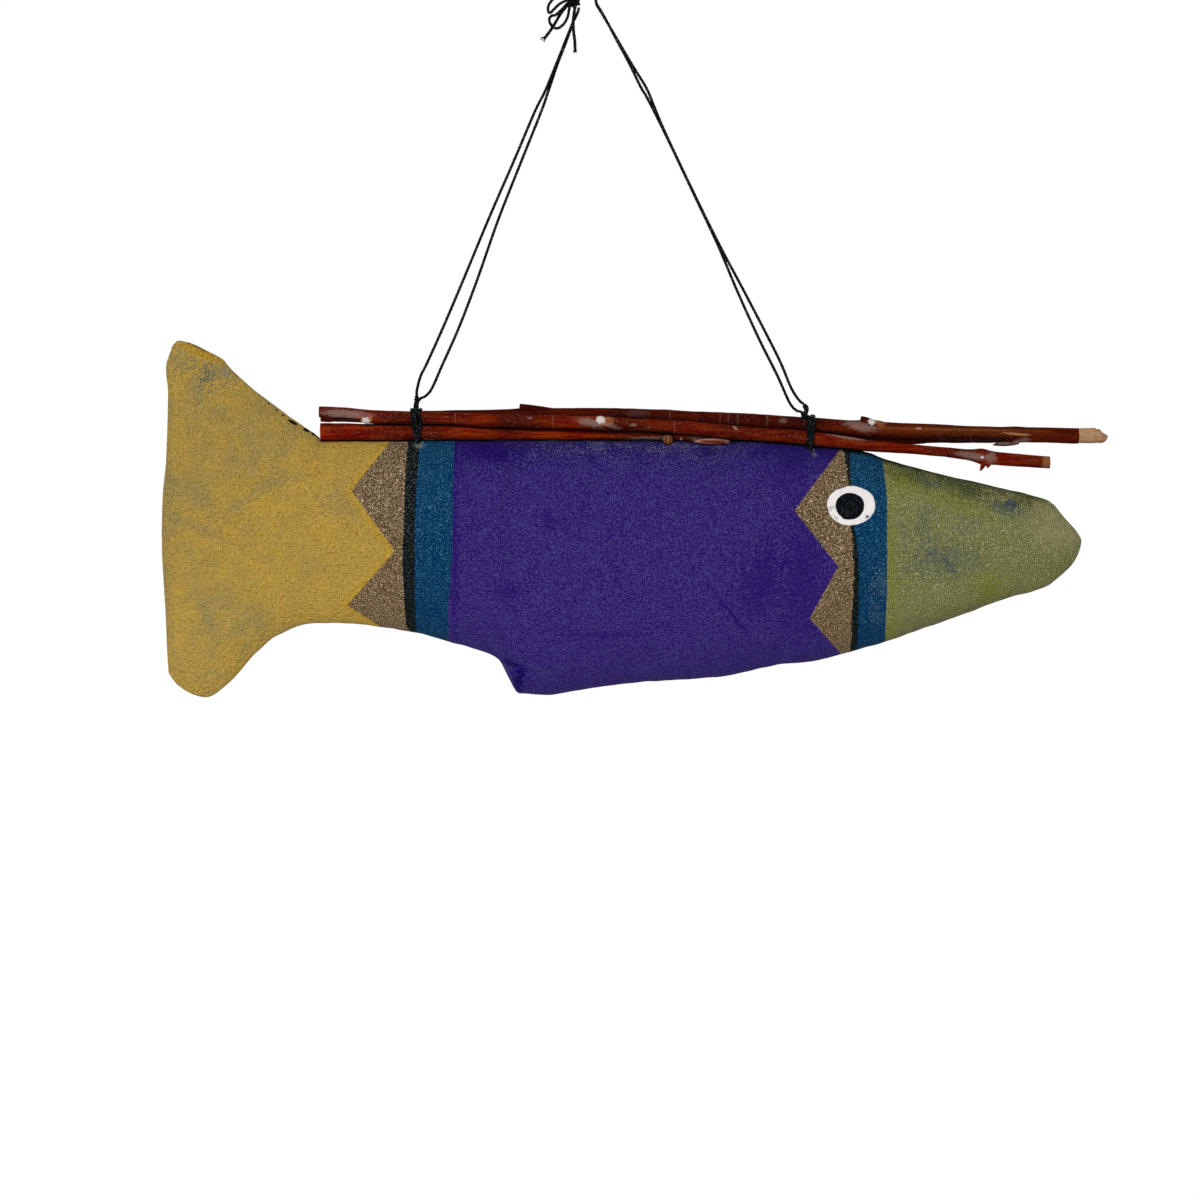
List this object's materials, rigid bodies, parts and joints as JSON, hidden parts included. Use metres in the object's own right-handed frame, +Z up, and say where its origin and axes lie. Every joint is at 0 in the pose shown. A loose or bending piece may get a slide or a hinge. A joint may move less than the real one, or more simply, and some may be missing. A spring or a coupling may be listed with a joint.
{
  "type": "fish ornament",
  "caption": "Flat stuffed canvas fish, painted in bands and zigzags, with red twigs lashed along its back, hung by a doubled black cord.",
  "frame": {"origin": "inside top of the cord's eye, where the ornament hangs on a hook or peg", "axes": "+X along the fish from its tail to its nose, +Y away from the painted face, +Z up"},
  "size_m": [0.3153, 0.037, 0.2379],
  "materials": {
    "painted_canvas": "plain-weave canvas under brushed acrylic paint",
    "bark": "smooth red bark, unvarnished",
    "waxed_cord": "twisted cord, waxed"
  },
  "bodies": {
    "root": {"fish_body": "painted_canvas", "twig_front": "bark", "twig_lower": "bark", "twig_back": "bark", "lashing_left": "waxed_cord", "lashing_right": "waxed_cord", "cord_left_outer": "waxed_cord", "cord_left_inner": "waxed_cord", "cord_right_inner": "waxed_cord", "cord_right_outer": "waxed_cord", "cord_eye_front": "waxed_cord", "cord_eye_back": "waxed_cord", "bow_knot": "waxed_cord", "bow_loop_upper": "waxed_cord", "bow_loop_lower": "waxed_cord", "bow_end_left": "waxed_cord", "bow_end_right": "waxed_cord"}
  },
  "joints": []
}
